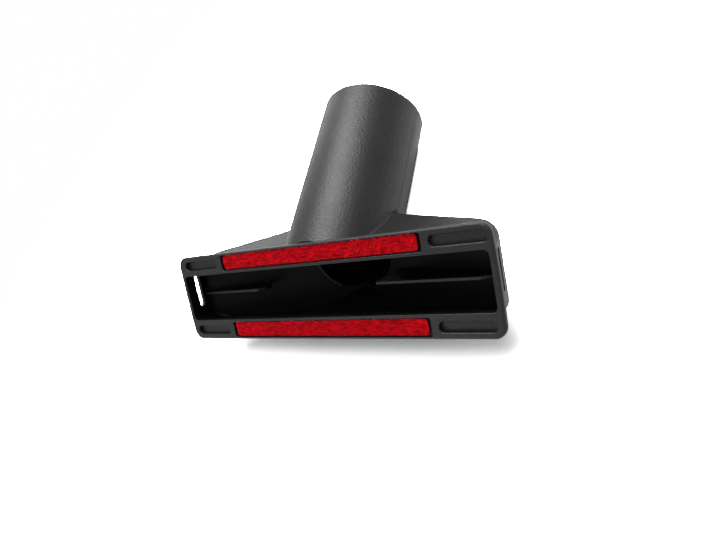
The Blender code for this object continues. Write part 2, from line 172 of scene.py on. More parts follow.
# Red pile: gloss, its two tones, and the noise along the lay that runs from one to the other
PILE_ROUGHNESS = 0.75
PILE_SPECULAR = 0.18
PILE_TONES = ((0.48, 0.0012, 0.008, 1.0), (1.0, 0.004, 0.022, 1.0))
PILE_TONE_SCALE = 1700.0
PILE_TONE_RANGE = (0.36, 0.60)
PILE_TONE_TURN = math.radians(-60)
PILE_TONE_STRETCH = 0.22

# Driving dimensions, in metres
HEAD_LENGTH = 0.1260
HEAD_HEIGHT = 0.0325
FLANGE_THICKNESS = 0.0025
FLANGE_CORNER_RADIUS = 0.0035
FLANGE_END_BULGE = 0.0004
FLANGE_EDGE_ROUND = 0.00085
UPPER_LIP_WIDTH = 0.0075
LOWER_LIP_WIDTH = 0.0077

SOCKET_RADIUS = 0.0175
SOCKET_TAPER = 0.0002
TUBE_WALL = 0.00198
TUBE_OUTER_RADIUS = SOCKET_RADIUS + TUBE_WALL
TUBE_ANGLE = math.radians(49.4)
TUBE_AXIS_HEIGHT = 0.0018
TUBE_LENGTH = 0.0901
TUBE_SETBACK = 0.0012
TUBE_END_ROUND = 0.0005

FAN_WALL = 0.0014
FAN_TOP_SLOPE = 0.351
FAN_BOTTOM_SLOPE = 0.20
FAN_END_STEP = 0.0005
FAN_CORNER_DEPTH = 0.0126
FAN_END_LEAN = 0.0014
FAN_REAR_SLOPE = 0.323
FAN_CORNER_RADIUS = 0.0070
FAN_END_ROUND = 0.0030
BELLY_RISE = 0.00005
CREASE_RADIUS = 0.0015
CREASE_END = math.radians(85)
CREASE_FADE = 0.25
FADE_LEFT = 0.08
REAR_FILLET_RADIUS = 0.0060
REAR_FILLET_ENDS = (math.radians(70), math.radians(168))
BORE_EDGE_RADIUS = 0.0030
BORE_EDGE_ENDS = (math.radians(70), math.radians(150))

WEB_THICKNESS = 0.0010
RIGHT_WEB_SETBACK = 0.0065
RIGHT_WEB_STEP_SETBACK = 0.0045
RIGHT_WEB_STEP_GAP = 0.0070
RIGHT_WEB_END_SETBACK = 0.0072
RIGHT_WEB_LENGTH = 0.0430
RIGHT_WEB_CORNER = 0.0010
LEFT_WEB_SETBACK = 0.0075
LEFT_WEB_END_SETBACK = 0.0075
LEFT_WEB_LENGTH = 0.0335
LEFT_WEB_END_LEAN = 1.0
LEFT_WEB_CORNER = 0.0048
WEB_END_STRAIGHT = 0.0006

SLOT_LENGTH = 0.0125
SLOT_WIDTH = 0.0020
SLOT_SETBACK = 0.0041
SLOT_TOP_GAP = 0.0004

PAD_LENGTH = 0.0225
SEAT_LENGTH = HEAD_LENGTH - 2 * PAD_LENGTH
SEAT_DEPTH = 0.0012
SEAT_CORNER_RADIUS = 0.0008
UPPER_SEAT_SHIFT = 0.0012
OUTER_RIM = 0.0008
INNER_RIM = 0.0011

POCKET_LENGTH = 0.0172
POCKET_WIDTH = 0.0033
POCKET_DEPTH = 0.0016
POCKET_END_GAP = 0.0028
POCKET_CORNER_RADIUS = 0.0015
POCKET_EDGE_ROUND = 0.0005

# Clearance under a pile strip
STRIP_GAP = 0.0003

# Facets on the tube's full turn, on a rounding, across and along a fillet, and on an outline's corner
TUBE_FACETS = 240
ROUND_FACETS = 6
FILLET_FACETS = 10
FILLET_STATIONS = 44
CORNER_FACETS = 8

# Facets on the smallest roundings: on the lips' edges, and on the webs and the tube's end
LIP_EDGE_FACETS = 3
SMALL_ROUND_FACETS = 2

# Halvings in the search for the angle where a fillet starts
SEARCH_STEPS = 40

# How far a cutter runs past the face that it cuts, how far a joined piece sinks in,
# how far a fillet's round side dips into what it blends with, and the hair's breadth
# that keeps the faces of two helpers out of one plane
OVERRUN = 0.0020
SINK = 0.0006
DIP = 0.00004
HAIR = 0.00002

# Distances below which vertices count as level, and as one
LEVEL = 1e-7
MERGE = 1e-6

# How far past a web's end its front edges still count, and how much a slot's round ends stay short of
# half its width
WEB_EDGE_REACH = 1e-4
ROUND_END_GAP = 1e-5

# Directions and places that follow from the sizes above
TUBE_DIRECTION = Vector((0.0, math.sin(TUBE_ANGLE), -math.cos(TUBE_ANGLE)))
TUBE_TOP = Vector((0.0, math.cos(TUBE_ANGLE), math.sin(TUBE_ANGLE)))
TUBE_START = Vector((0.0, TUBE_AXIS_HEIGHT, 0.0))
HALF_LENGTH = HEAD_LENGTH / 2
TOP_ANGLE = math.atan(FAN_TOP_SLOPE)
BOTTOM_ANGLE = math.atan(FAN_BOTTOM_SLOPE)
MOUTH_TOP = HEAD_HEIGHT - UPPER_LIP_WIDTH
MOUTH_BOTTOM = LOWER_LIP_WIDTH
MOUTH_MIDDLE = (MOUTH_TOP + MOUTH_BOTTOM) / 2
POCKET_MIDDLE_X = HALF_LENGTH - POCKET_END_GAP - POCKET_LENGTH / 2


def arc(centre, radius, start, end, steps):
    """Points along an arc in a plane, with both ends."""
    points = []
    for i in range(steps + 1):
        angle = start + (end - start) * i / steps
        points.append((centre[0] + radius * math.cos(angle), centre[1] + radius * math.sin(angle)))
    return points


def rounded_rectangle(length, width, radius, bulge=0.0):
    """A rectangle about the origin with round corners, and with ends that bow out by bulge."""
    x, y = length / 2 - bulge - radius, width / 2 - radius
    quarter = math.pi / 2
    outline = []
    for turn, (cx, cy) in enumerate(((x, y), (-x, y), (-x, -y), (x, -y))):
        outline += arc((cx, cy), radius, turn * quarter, (turn + 1) * quarter, CORNER_FACETS)
        if bulge and turn % 2 == 1:
            for share in END_SHARES:
                outline.append((math.copysign(length / 2 - bulge, cx), share * math.copysign(y, cx)))
    if bulge:
        outline = spread_bulge(outline, width, bulge)
    return outline


def spread_bulge(outline, width, bulge):
    """Moves the points out along X so that each end follows one shallow curve."""
    spread = []
    for px, py in outline:
        share = 1.0 - (2 * py / width) ** 2
        spread.append((px + math.copysign(bulge * share, px), py))
    return spread


def plate(outline, centre, low, high):
    """An outline in X and Y, moved to centre and raised from low to high along Z."""
    bm = bmesh.new()
    bottom = [bm.verts.new((x + centre[0], y + centre[1], low)) for x, y in outline]
    top = [bm.verts.new((x + centre[0], y + centre[1], high)) for x, y in outline]
    bridge(bm, [bottom, top])
    return bm


def bridge(bm, rings):
    """Side faces between rings of vertices, with both ends capped."""
    for lower, upper in zip(rings, rings[1:]):
        for i in range(len(lower)):
            j = (i + 1) % len(lower)
            bm.faces.new((lower[i], lower[j], upper[j], upper[i]))
    bm.faces.new(list(reversed(rings[0])))
    bm.faces.new(rings[-1])


def edges_at_height(bm, height):
    return [e for e in bm.edges if all(abs(v.co.z - height) < LEVEL for v in e.verts)]


def round_edges(bm, edges, radius, steps=ROUND_FACETS):
    bmesh.ops.bevel(bm, geom=edges, offset=radius, segments=steps, profile=0.5, affect="EDGES")


def trim(bm, point, normal):
    """Cuts away what lies beyond a plane, on the side its normal points to, and caps the cut."""
    geometry = list(bm.verts) + list(bm.edges) + list(bm.faces)
    cut = bmesh.ops.bisect_plane(
        bm, geom=geometry, plane_co=point, plane_no=normal, clear_outer=True, dist=LEVEL
    )
    rim = [item for item in cut["geom_cut"] if isinstance(item, bmesh.types.BMEdge)]
    bmesh.ops.holes_fill(bm, edges=rim, sides=0)


def wall_y(base, slope, z):
    """Height of a sloping fan wall that starts at base in the plane of the lips."""
    return base + slope * z


def top_plane(inset):
    """A point on the fan's upper wall and its outward normal, moved inwards by inset."""
    outer = MOUTH_TOP + FAN_WALL / math.cos(TOP_ANGLE)
    point = Vector((0.0, outer - inset / math.cos(TOP_ANGLE), 0.0))
    return point, Vector((0.0, math.cos(TOP_ANGLE), math.sin(TOP_ANGLE)))


def bottom_plane(inset):
    """A point on the fan's lower wall and its outward normal, moved inwards by inset."""
    outer = MOUTH_BOTTOM - FAN_WALL / math.cos(BOTTOM_ANGLE)
    point = Vector((0.0, outer + inset / math.cos(BOTTOM_ANGLE), 0.0))
    return point, Vector((0.0, -math.cos(BOTTOM_ANGLE), math.sin(BOTTOM_ANGLE)))


def belly_plane(inset):
    """The flat underside behind the heel, in line with the tube's lowest side."""
    drop = TUBE_OUTER_RADIUS - BELLY_RISE - inset
    return TUBE_START - TUBE_TOP * drop, -TUBE_TOP


def rear_plane(side, inset):
    """The fan's rear wall on one side: a point on it and its outward normal."""
    normal = Vector((side * FAN_REAR_SLOPE, 0.0, -1.0)).normalized()
    corner = Vector((side * fan_corner_x(), 0.0, -FAN_CORNER_DEPTH))
    return corner - normal * inset, normal


def fan_front_x():
    """Where an end wall of the fan meets the plane of the lips."""
    return HALF_LENGTH - FAN_END_STEP


def fan_corner_x():
    """Where an end wall of the fan meets its rear wall, before the corner is rounded."""
    return fan_front_x() - FAN_END_LEAN


def line_crossing(p, d, q, e):
    """Where the line through p along d meets the line through q along e, in a plane."""
    across = d[0] * e[1] - d[1] * e[0]
    t = ((q[0] - p[0]) * e[1] - (q[1] - p[1]) * e[0]) / across
    return p[0] + d[0] * t, p[1] + d[1] * t


def fan_side(inset):
    """Point and direction of the fan's end wall in X and Z, running backwards."""
    direction = Vector((-FAN_END_LEAN, -FAN_CORNER_DEPTH)).normalized()
    inwards = Vector((direction.y, -direction.x))
    return Vector((fan_front_x(), 0.0)) + inwards * inset, direction


def fan_rear(inset):
    """Point and direction of the fan's rear wall in X and Z, running to the middle."""
    direction = Vector((-1.0, -FAN_REAR_SLOPE)).normalized()
    inwards = Vector((direction.y, -direction.x))
    return Vector((fan_corner_x(), -FAN_CORNER_DEPTH)) + inwards * inset, direction


def round_corner(before, corner, after, radius, steps):
    """An arc that is tangent to both lines through a corner."""
    to_before = (Vector(before) - Vector(corner)).normalized()
    to_after = (Vector(after) - Vector(corner)).normalized()
    half = to_before.angle(to_after) / 2
    reach = radius / math.tan(half)
    middle = Vector(corner) + (to_before + to_after).normalized() * radius / math.sin(half)
    start = Vector(corner) + to_before * reach - middle
    turn = start.angle_signed(Vector(corner) + to_after * reach - middle)
    points = []
    for i in range(steps + 1):
        points.append(tuple(middle + Matrix.Rotation(-turn * i / steps, 2) @ start))
    return points


def fan_half_outline(inset, front, end_inset=0.0):
    """The fan from the front of one end wall, round its corner and along its rear wall to the middle."""
    side_point, side_direction = fan_side(inset + end_inset)
    rear_point, rear_direction = fan_rear(inset)
    start = line_crossing(side_point, side_direction, (0.0, front), (1.0, 0.0))
    corner = line_crossing(side_point, side_direction, rear_point, rear_direction)
    middle = line_crossing(rear_point, rear_direction, (0.0, 0.0), (0.0, 1.0))
    bend = round_corner(start, corner, middle, FAN_CORNER_RADIUS - inset, 2 * FILLET_FACETS)
    return [start] + bend + [middle]


def fan_ring(bm, inset, front, end_inset, base, slope):
    """The fan's outline on a sloping plane, with its two ends drawn in by end_inset."""
    half = fan_half_outline(inset, front, end_inset)
    outline = half + [(-x, z) for x, z in reversed(half[:-1])]
    return [bm.verts.new((x, wall_y(base, slope, z), z)) for x, z in outline]


def fan_solid(inset, front):
    """The space between the two sloping walls inside the fan's outline, round along its two ends.

    The outside, which has no inset, has a wider rounding along the lower edge of its ends.
    """
    low_radius = FAN_END_ROUND - inset if inset else FAN_LOW_ROUND
    top_radius = FAN_END_ROUND - inset
    top = top_plane(inset)[0].y
    bottom = bottom_plane(inset)[0].y
    bm = bmesh.new()
    lower, upper = [], []
    for step in range(ROUND_FACETS + 1):
        angle = math.pi / 2 * step / ROUND_FACETS
        side = 1 - math.sin(angle)
        rise = 1 - math.cos(angle)
        low_base = bottom + low_radius * rise
        top_base = top - top_radius * rise
        lower.append(fan_ring(bm, inset, front, low_radius * side, low_base, FAN_BOTTOM_SLOPE))
        upper.append(fan_ring(bm, inset, front, top_radius * side, top_base, -FAN_TOP_SLOPE))
    bridge(bm, lower + upper[::-1])
    trim(bm, *belly_plane(inset))
    return bm


def tube_solid(radius, end_radius, end, inset, setback, end_round=0.0):
    """A round bar along the tube's axis, trimmed behind the lips and above the fan's lower wall.

    The outside, which has no inset, is widened towards the head.
    """
    bm = bmesh.new()
    rings = []
    for distance, r in ((-OVERRUN, radius), (end, end_radius)):
        centre = TUBE_START + TUBE_DIRECTION * distance
        ring = []
        for i in range(TUBE_FACETS):
            angle = 2 * math.pi * (i + 0.5) / TUBE_FACETS
            offset = Vector((math.sin(angle), 0.0, 0.0)) + TUBE_TOP * math.cos(angle)
            ring.append(bm.verts.new(centre + offset * r))
        rings.append(ring)
    bridge(bm, rings)
    if end_round:
        end_ring = set(rings[1])
        round_edges(bm, [e for e in bm.edges if set(e.verts) <= end_ring], end_round, SMALL_ROUND_FACETS)
    if inset == 0.0:
        widen(bm)
    trim(bm, Vector((0.0, 0.0, -setback)), Vector((0.0, 0.0, 1.0)))
    trim(bm, *bottom_plane(inset + HAIR))
    return bm


def widen(bm):
    """Widens a piece of the tube's outside along X alone, from nothing at its open end to the head."""
    for vertex in bm.verts:
        distance = (vertex.co - TUBE_START).dot(TUBE_DIRECTION)
        vertex.co.x *= 1.0 + TUBE_SPREAD * (1.0 - min(max(distance / TUBE_LENGTH, 0.0), 1.0))


def rolling_fillet(radius, plane, ball, first, last, fade=0.0):
    """A solid that fills the corner between the tube's round side and a flat wall.

    A ball rolls along the corner and touches both. first and last are angles about the
    tube from its top, and over the last share, fade, the ball shrinks to almost nothing.
    """
    point, normal = plane
    bm = bmesh.new()
    rings = []
    for station in range(FILLET_STATIONS + 1):
        share = station / FILLET_STATIONS
        angle = first + (last - first) * share
        size = ball
        if fade and share > 1.0 - fade:
            size = ball * max(FADE_LEFT, (1.0 - share) / fade)
        outwards = Vector((math.sin(angle), 0.0, 0.0)) + TUBE_TOP * math.cos(angle)
        base = TUBE_START + outwards * (radius + size - DIP)
        along = (size - DIP - (base - point).dot(normal)) / TUBE_DIRECTION.dot(normal)
        centre = base + TUBE_DIRECTION * along
        to_tube = -outwards
        to_wall = -normal
        spread = to_tube.angle(to_wall)
        ring = []
        for step in range(FILLET_FACETS + 1):
            t = step / FILLET_FACETS
            ray = (to_tube * math.sin((1 - t) * spread) + to_wall * math.sin(t * spread)) / math.sin(spread)
            ring.append(bm.verts.new(centre + ray * size))
        corner = centre + (to_tube + to_wall).normalized() * (size / math.cos(spread / 2))
        ring.append(bm.verts.new(centre + to_wall * (size + SINK)))
        ring.append(bm.verts.new(corner + (to_tube + to_wall).normalized() * SINK))
        ring.append(bm.verts.new(centre + to_tube * (size + SINK)))
        rings.append(ring)
    bridge(bm, rings)
    bmesh.ops.triangulate(bm, faces=bm.faces)
    return bm


def crease_angle_at(radius, plane, ball, depth):
    """Angle about the tube where the fillet along a wall has come to a given depth behind the lips."""
    point, normal = plane
    low, high = 0.0, math.pi / 2
    for _ in range(SEARCH_STEPS):
        angle = (low + high) / 2
        outwards = Vector((math.sin(angle), 0.0, 0.0)) + TUBE_TOP * math.cos(angle)
        base = TUBE_START + outwards * (radius + ball)
        along = (ball - (base - point).dot(normal)) / TUBE_DIRECTION.dot(normal)
        if (base + TUBE_DIRECTION * along).z > -depth:
            low = angle
        else:
            high = angle
    return low


def add_fillets(body):
    """Outer fillets: along the crease of the fan's upper wall, and up each rear wall."""
    start = crease_angle_at(TUBE_OUTER_RADIUS, top_plane(0.0), CREASE_RADIUS, TUBE_SETBACK + CREASE_RADIUS)
    for side, name in ((1, "right"), (-1, "left")):
        crease = rolling_fillet(
            TUBE_OUTER_RADIUS, top_plane(0.0), CREASE_RADIUS, side * start, side * CREASE_END, CREASE_FADE
        )
        widen(crease)
        combine(body, crease, name + "_crease", "UNION")
        first, last = REAR_FILLET_ENDS
        rear = rolling_fillet(
            TUBE_OUTER_RADIUS, rear_plane(side, 0.0), REAR_FILLET_RADIUS, side * first, side * last
        )
        widen(rear)
        trim(rear, *top_plane(HAIR))
        trim(rear, *bottom_plane(HAIR))
        trim(rear, *belly_plane(HAIR))
        combine(body, rear, name + "_rear_fillet", "UNION")


def cut_cavity(body):
    """The hollow of the fan, the bore that runs into it, and the round edges where they meet."""
    combine(body, fan_solid(FAN_WALL, OVERRUN), "fan_cavity", "DIFFERENCE")
    inner_radius = SOCKET_RADIUS - SOCKET_TAPER
    setback = TUBE_SETBACK + TUBE_WALL
    bore = tube_solid(inner_radius, SOCKET_RADIUS, TUBE_LENGTH + OVERRUN, FAN_WALL, setback)
    combine(body, bore, "bore", "DIFFERENCE")
    for side, name in ((1, "right"), (-1, "left")):
        first, last = BORE_EDGE_ENDS
        wall = rear_plane(side, FAN_WALL)
        edge = rolling_fillet(inner_radius, wall, BORE_EDGE_RADIUS, side * first, side * last)
        trim(edge, *top_plane(FAN_WALL + HAIR))
        trim(edge, *bottom_plane(FAN_WALL + HAIR))
        trim(edge, *belly_plane(FAN_WALL + HAIR))
        combine(body, edge, name + "_bore_edge", "DIFFERENCE")


def web_solid(side, front, end_lean, end_setback, corner):
    """A thin level web from an end wall to near the bore, seated in the walls of the fan.

    front is its front edge in X and Z from the inner end outwards. Behind its round
    corner, the inner end leans outwards to the rear wall by end_lean for each unit of depth.
    """
    inset = FAN_WALL / 2
    half = fan_half_outline(inset, -end_setback)
    rear_point, rear_direction = fan_rear(inset)
    inner = front[0]
    knee = (inner[0], inner[1] - corner - WEB_END_STRAIGHT)
    back = line_crossing(rear_point, rear_direction, knee, (end_lean, -1.0))
    outer = list(front[1:])
    after = outer[0] if outer else half[0]
    outline = half[:-1] + [back, knee] + round_corner(knee, inner, after, corner, FILLET_FACETS) + outer
    bm = bmesh.new()
    low = [bm.verts.new((side * x, MOUTH_MIDDLE - WEB_THICKNESS / 2, z)) for x, z in outline]
    high = [bm.verts.new((side * x, MOUTH_MIDDLE + WEB_THICKNESS / 2, z)) for x, z in outline]
    bridge(bm, [low, high])
    level = [e for e in bm.edges if abs(e.verts[0].co.y - e.verts[1].co.y) < LEVEL]
    front_edges = [e for e in level if max(v.co.z for v in e.verts) > -end_setback - WEB_EDGE_REACH]
    round_edges(bm, front_edges, WEB_EDGE_ROUND, SMALL_ROUND_FACETS)
    return bm


def slot_solid(side):
    """A bleed slot through an end wall, with round ends."""
    middle_y = MOUTH_TOP - SLOT_TOP_GAP - SLOT_LENGTH / 2
    middle_z = -SLOT_SETBACK - SLOT_WIDTH / 2
    outline = rounded_rectangle(SLOT_LENGTH, SLOT_WIDTH, SLOT_WIDTH / 2 - ROUND_END_GAP)
    inner = fan_corner_x() - FAN_WALL
    bm = bmesh.new()
    near = [bm.verts.new((side * inner, middle_y + u, middle_z + v)) for u, v in outline]
    far = [bm.verts.new((side * (HALF_LENGTH + OVERRUN), middle_y + u, middle_z + v)) for u, v in outline]
    bridge(bm, [near, far])
    return bm


def pocket_solid(middle):
    """A blind pocket in an end pad, with an eased edge at the face."""
    outline = rounded_rectangle(POCKET_LENGTH, POCKET_WIDTH, POCKET_CORNER_RADIUS)
    sections = [(-POCKET_DEPTH, 0.0), (-POCKET_EDGE_ROUND, 0.0)]
    for step in range(1, ROUND_FACETS + 1):
        angle = math.pi / 2 * step / ROUND_FACETS
        level = HAIR - (POCKET_EDGE_ROUND + HAIR) * (1 - math.sin(angle))
        sections.append((level, POCKET_EDGE_ROUND * (1 - math.cos(angle))))
    bm = bmesh.new()
    rings = []
    for z, grow in sections:
        rings.append(grown_ring(bm, outline, grow, (*middle, z)))
    rings.append(grown_ring(bm, outline, POCKET_EDGE_ROUND, (*middle, OVERRUN)))
    bridge(bm, rings)
    return bm


def grown_ring(bm, outline, grow, centre):
    """One level of a pocket, stretched outwards by grow on every side."""
    ring = []
    for x, y in outline:
        scaled = (x * (1 + 2 * grow / POCKET_LENGTH), y * (1 + 2 * grow / POCKET_WIDTH))
        ring.append(bm.verts.new((centre[0] + scaled[0], centre[1] + scaled[1], centre[2])))
    return ring


def lip_seats():
    """Middle and width of the seat in each lip: the lip between its two rims."""
    upper_low, upper_high = MOUTH_TOP + INNER_RIM, HEAD_HEIGHT - OUTER_RIM
    lower_low, lower_high = OUTER_RIM, MOUTH_BOTTOM - INNER_RIM
    return {
        "upper": ((UPPER_SEAT_SHIFT, (upper_low + upper_high) / 2), upper_high - upper_low),
        "lower": ((0.0, (lower_low + lower_high) / 2), lower_high - lower_low),
    }


def make_flange(material):
    """The plate of the two lips, with its back and front edges rounded."""
    levels = []
    for step in range(ROUND_FACETS + 1):
        angle = math.pi / 2 * step / ROUND_FACETS
        rise = FLANGE_BACK_ROUND * (1 - math.cos(angle))
        levels.append((rise - FLANGE_THICKNESS, FLANGE_BACK_ROUND * (1 - math.sin(angle))))
    for step in range(ROUND_FACETS + 1):
        angle = math.pi / 2 * step / ROUND_FACETS
        drop = FLANGE_EDGE_ROUND * (math.sin(angle) - 1)
        levels.append((drop, FLANGE_EDGE_ROUND * (1 - math.cos(angle))))
    bm = bmesh.new()
    rings = []
    for level, inset in levels:
        outline = rounded_rectangle(
            HEAD_LENGTH - 2 * inset, HEAD_HEIGHT - 2 * inset, FLANGE_CORNER_RADIUS - inset, FLANGE_END_BULGE
        )
        rings.append([bm.verts.new((x, y + HEAD_HEIGHT / 2, level)) for x, y in outline])
    bridge(bm, rings)
    return make_object("nozzle_body", bm, material)


def make_body(material):
    """The whole moulding, in the head's own frame, with its parts joined and cut by modifiers."""
    body = make_flange(material)
    combine(body, fan_solid(0.0, -FLANGE_THICKNESS + SINK), "fan", "UNION")
    tube = tube_solid(
        TUBE_OUTER_RADIUS, TUBE_OUTER_RADIUS, TUBE_LENGTH, 0.0, TUBE_SETBACK, TUBE_END_ROUND
    )
    combine(body, tube, "tube", "UNION")
    add_fillets(body)
    cut_cavity(body)
    right_step = (HALF_LENGTH - RIGHT_WEB_STEP_GAP, -RIGHT_WEB_STEP_SETBACK)
    right_front = [(HALF_LENGTH - RIGHT_WEB_LENGTH, -RIGHT_WEB_SETBACK), right_step]
    right_web = web_solid(1, right_front, 0.0, RIGHT_WEB_END_SETBACK, RIGHT_WEB_CORNER)
    combine(body, right_web, "right_web", "UNION")
    left_front = [(HALF_LENGTH - LEFT_WEB_LENGTH, -LEFT_WEB_SETBACK)]
    left_web = web_solid(-1, left_front, LEFT_WEB_END_LEAN, LEFT_WEB_END_SETBACK, LEFT_WEB_CORNER)
    combine(body, left_web, "left_web", "UNION")
    for side, name in ((1, "right"), (-1, "left")):
        combine(body, slot_solid(side), name + "_slot", "DIFFERENCE")
    for lip, (middle, width) in lip_seats().items():
        outline = rounded_rectangle(SEAT_LENGTH, width, SEAT_CORNER_RADIUS)
        combine(body, plate(outline, middle, -SEAT_DEPTH, OVERRUN), lip + "_seat", "DIFFERENCE")
        for side, name in ((1, "right"), (-1, "left")):
            pocket = pocket_solid((middle[0] + side * POCKET_MIDDLE_X, middle[1]))
            combine(body, pocket, lip + "_" + name + "_pocket", "DIFFERENCE")
    return body


def make_object(name, bm, *materials):
    """A linked object that takes over the mesh."""
    bmesh.ops.recalc_face_normals(bm, faces=bm.faces)
    mesh = bpy.data.meshes.new(name)
    bm.to_mesh(mesh)
    bm.free()
    obj = bpy.data.objects.new(name, mesh)
    bpy.context.scene.collection.objects.link(obj)
    for material in materials:
        mesh.materials.append(material)
    return obj


def combine(target, bm, name, operation):
    """Joins or cuts a helper solid with a Boolean modifier."""
    helper = make_object(name, bm)
    modifier = target.modifiers.new(name, "BOOLEAN")
    modifier.operation = operation
    modifier.solver = "EXACT"
    modifier.object = helper


def head_place():
    """The turn and shift that lay the head down on the surface, with the tube level."""
    return Matrix.Translation(HEAD_SHIFT) @ Matrix.Rotation(math.pi / 2 - TUBE_ANGLE, 4, "X")


def line_cutter(side):
    """A narrow bar along one side of the tube, which cuts the line where the mould's halves met."""
    bm = bmesh.new()
    out = Vector((side, 0.0, 0.0))
    low, high = TUBE_OUTER_RADIUS - LINE_DEPTH, TUBE_OUTER_RADIUS + OVERRUN
    narrow, wide = LINE_WIDTH / 4, LINE_WIDTH / 2
    corners = ((low, narrow), (low, -narrow), (high, -wide), (high, wide))
    rings = []
    for distance in (TUBE_OUTER_RADIUS * LINE_FROM, TUBE_LENGTH + OVERRUN):
        middle = TUBE_START + TUBE_DIRECTION * distance
        places = [middle + out * radius + TUBE_TOP * offset for radius, offset in corners]
        rings.append([bm.verts.new(place) for place in places])
    bridge(bm, rings)
    widen(bm)
    return bm


def in_hollow(point):
    """Whether a point of the body lies on the walls of the hollow, behind the lips."""
    start = HOLLOW_SHADE_FROM_BELOW if point.y < MOUTH_BOTTOM + FAN_WALL else HOLLOW_SHADE_FROM
    low_base, low_normal = bottom_plane(FAN_WALL)
    if point.z > -start or (point - low_base).dot(low_normal) > 2 * HAIR:
        return False
    across = point - TUBE_START
    reach = across.dot(TUBE_DIRECTION)
    if reach > TUBE_LENGTH - HAIR:
        return False
    if (across - TUBE_DIRECTION * reach).length < SOCKET_RADIUS + HAIR:
        return True
    side_point, side_direction = fan_side(FAN_WALL)
    flat = Vector((abs(point.x), point.z)) - side_point
    if flat.x * -side_direction.y + flat.y * side_direction.x > HAIR:
        return False
    walls = [top_plane(FAN_WALL), bottom_plane(FAN_WALL), belly_plane(FAN_WALL)]
    walls += [rear_plane(side, FAN_WALL) for side in (1, -1)]
    return all((point - base).dot(normal) < HAIR for base, normal in walls)


def on_web_front(face):
    """Whether a face belongs to the front edge of one of the two webs."""
    centre = face.calc_center_median()
    if abs(centre.y - MOUTH_MIDDLE) > WEB_THICKNESS / 2 + HAIR or centre.z < -WEB_FRONT_TO:
        return False
    return face.normal.z > WEB_FRONT_FACING


def bake_body(body, painted_shade_material):
    """Applies the Booleans, rounds the lips' edges, gives the hollow's walls the darker plastic of painted
    shade and lays the head down.
    """
    bpy.context.view_layer.update()
    solid = body.evaluated_get(bpy.context.evaluated_depsgraph_get())
    bm = bmesh.new()
    bm.from_mesh(solid.to_mesh())
    bmesh.ops.remove_doubles(bm, verts=bm.verts, dist=MERGE)
    sharp = []
    for edge in edges_at_height(bm, 0.0):
        if len(edge.link_faces) == 2 and edge.calc_face_angle() > ROUNDED_ANGLE:
            sharp.append(edge)
    round_edges(bm, sharp, LIP_EDGE_ROUND, LIP_EDGE_FACETS)
    bm.normal_update()
    for face in bm.faces:
        # Painted shade: the hollow's walls, apart from the webs' front edges, get the darker plastic
        inside = in_hollow(face.calc_center_median()) and not on_web_front(face)
        face.material_index = 1 if inside else 0
    bmesh.ops.transform(bm, matrix=head_place(), verts=bm.verts)
    for helper in [modifier.object for modifier in body.modifiers]:
        bpy.data.objects.remove(helper, do_unlink=True)
    material = body.data.materials[0]
    bpy.data.objects.remove(body, do_unlink=True)
    return make_object("moulded_body", bm, material, painted_shade_material)


def smooth(obj):
    """Smooth shading, apart from sharp edges, with the large faces' normals kept even."""
    for face in obj.data.polygons:
        face.use_smooth = True
    obj.data.set_sharp_from_angle(angle=SMOOTH_ANGLE)
    modifier = obj.modifiers.new("even_normals", "WEIGHTED_NORMAL")
    modifier.keep_sharp = True
    modifier.weight = NORMAL_WEIGHT


def add_body(material, painted_shade_material):
    body = make_body(material)
    for side, name in ((1, "right"), (-1, "left")):
        combine(body, line_cutter(side), name + "_mould_line", "DIFFERENCE")
    piece = bake_body(body, painted_shade_material)
    smooth(piece)
    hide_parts("nozzle_body")
    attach(piece, "root")


def inside_rounded(x, y, half_length, half_width, radius):
    """Whether a point lies in a rectangle about the origin with round corners."""
    over_x = max(abs(x) - (half_length - radius), 0.0)
    over_y = max(abs(y) - (half_width - radius), 0.0)
    return math.hypot(over_x, over_y) < radius


def add_tuft(bm, root, lean, height, thickness):
    """A short curved tuft: three-sided, widest in its middle, with a blunt tip."""
    side = Vector((lean.y, -lean.x, 0.0)).normalized()
    rings = []
    for share, bend, girth in TUFT_RINGS:
        middle = root + Vector((0.0, 0.0, height * share)) + lean * (height * bend)
        ring = []
        for turn in range(TUFT_SIDES):
            angle = 2 * math.pi * turn / TUFT_SIDES
            offset = side * math.cos(angle) + lean.normalized() * math.sin(angle)
            ring.append(bm.verts.new(middle + offset * (thickness * girth)))
        rings.append(ring)
    bridge(bm, rings)


